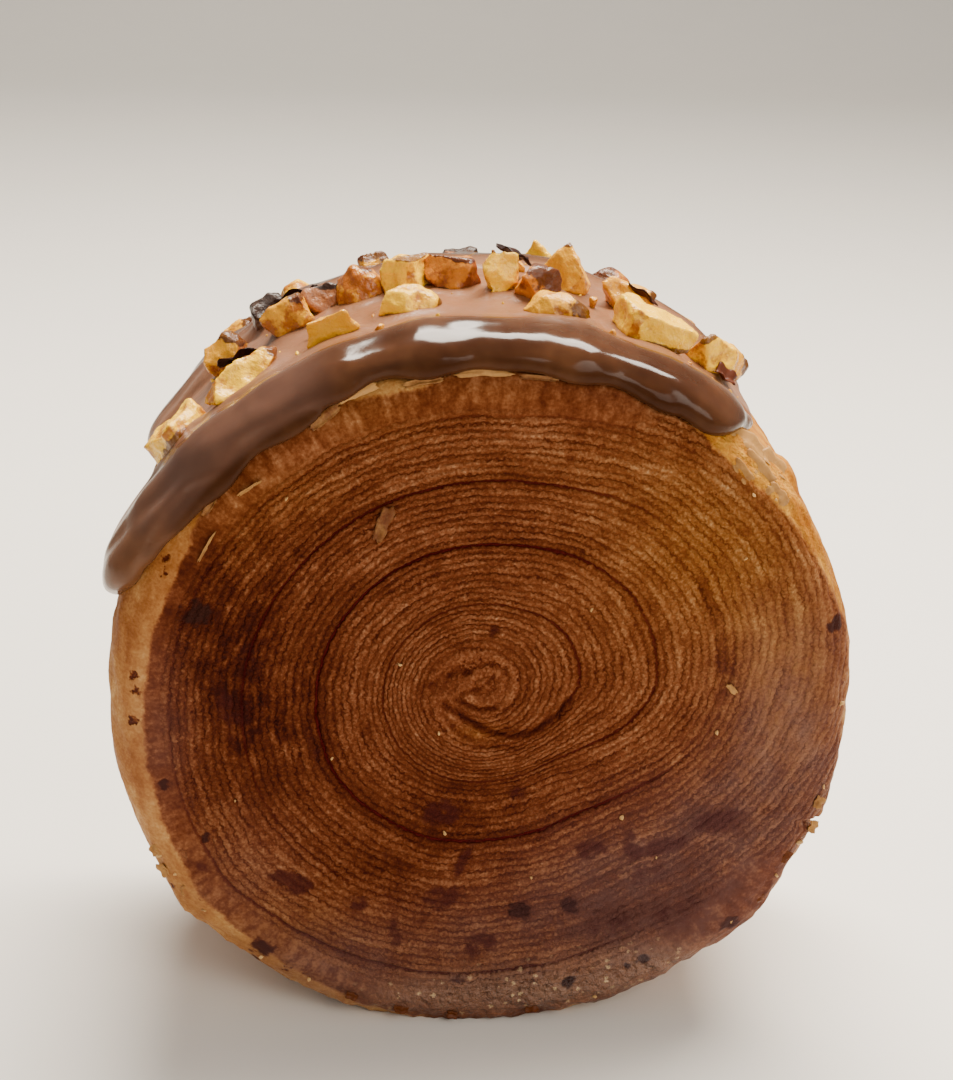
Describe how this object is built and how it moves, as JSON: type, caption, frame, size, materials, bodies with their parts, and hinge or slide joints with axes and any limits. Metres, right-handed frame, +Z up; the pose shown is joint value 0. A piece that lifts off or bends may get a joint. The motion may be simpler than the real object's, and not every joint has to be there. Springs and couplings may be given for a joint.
{
  "type": "round croissant",
  "caption": "Round laminated pastry roll that stands on its rim, with flat spiral faces, a chocolate-dipped upper rim and chopped nuts set in the chocolate.",
  "frame": {"origin": "middle of the flat spot on the rim that the roll stands on", "axes": "+Z up, the roll's axis along Y, the face that shows most towards -Y"},
  "size_m": [0.0998, 0.0504, 0.1057],
  "materials": {
    "crust": "baked laminated crust, orange-brown to dark brown, dry with a slight butter sheen",
    "chocolate": "set milk chocolate, glossy and smooth",
    "nut_cream": "broken roasted nut, cream, matt",
    "nut_golden": "roasted nut, golden brown, matt",
    "nut_skin": "nut with its dark skin on, satin"
  },
  "bodies": {
    "root": {"croissant_roll": "crust", "chocolate_glaze": "chocolate", "nut_01": "nut_cream", "nut_02": "nut_golden", "nut_03": "nut_cream", "nut_04": "nut_golden", "nut_05": "nut_skin", "nut_06": "nut_golden", "nut_07": "nut_skin", "nut_08": "nut_golden", "nut_09": "nut_cream", "nut_10": "nut_cream", "nut_11": "nut_skin", "nut_12": "nut_cream", "nut_13": "nut_skin", "nut_14": "nut_golden", "nut_15": "nut_golden", "nut_16": "nut_golden", "nut_17": "nut_cream", "nut_18": "nut_cream", "nut_19": "nut_golden", "nut_20": "nut_golden", "nut_21": "nut_cream", "nut_22": "nut_golden", "nut_23": "nut_skin", "nut_24": "nut_cream", "nut_25": "nut_golden", "nut_26": "nut_cream"}
  },
  "joints": []
}
